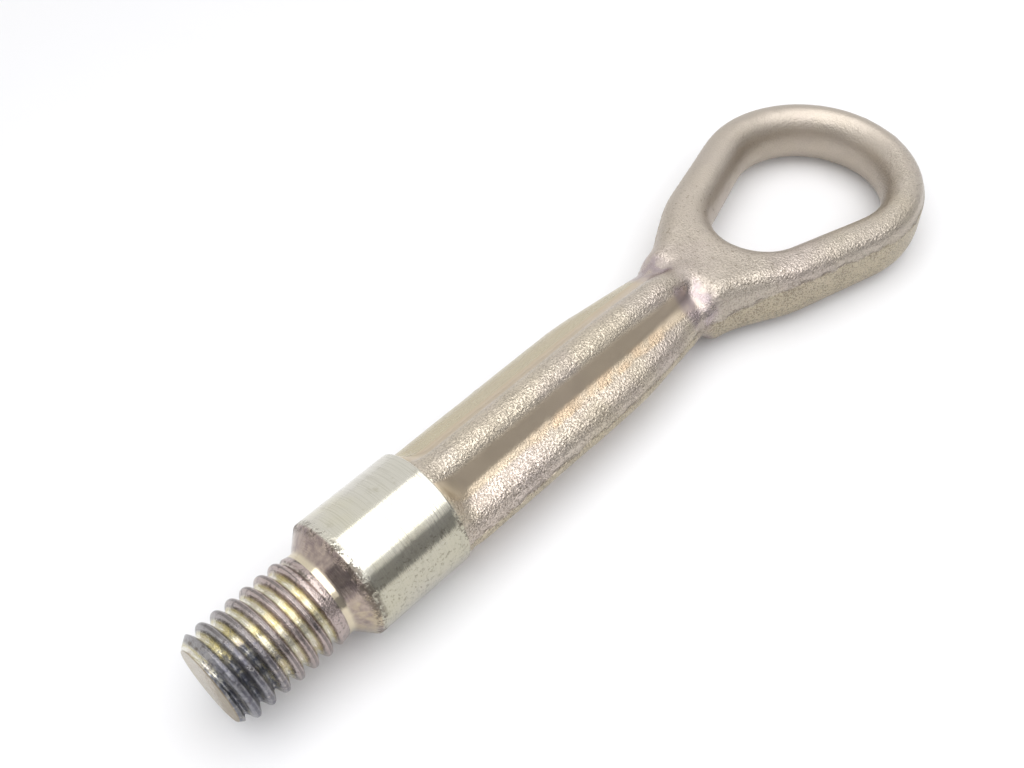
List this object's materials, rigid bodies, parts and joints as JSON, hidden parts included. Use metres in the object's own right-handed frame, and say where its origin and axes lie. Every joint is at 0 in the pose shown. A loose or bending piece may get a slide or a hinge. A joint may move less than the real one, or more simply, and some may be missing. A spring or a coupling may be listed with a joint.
{
  "type": "tow eye",
  "caption": "Forged screw-in tow eye: coarse round-crested thread, cone shoulder and turned collar, cross-shaped ribbed shank and a pear-shaped ring for a tow hook.",
  "frame": {"origin": "on the screw's axis, where the cone of the shoulder meets the collar", "axes": "+X along the screw's axis from the thread to the ring, +Z square to the plane of the ring"},
  "size_m": [0.186, 0.0498, 0.0236],
  "materials": {
    "forging": "yellow-passivated zinc over a shot-blasted forging, pitted, worn and greasy at the thread"
  },
  "bodies": {
    "root": {"tow_eye": "forging"}
  },
  "joints": []
}
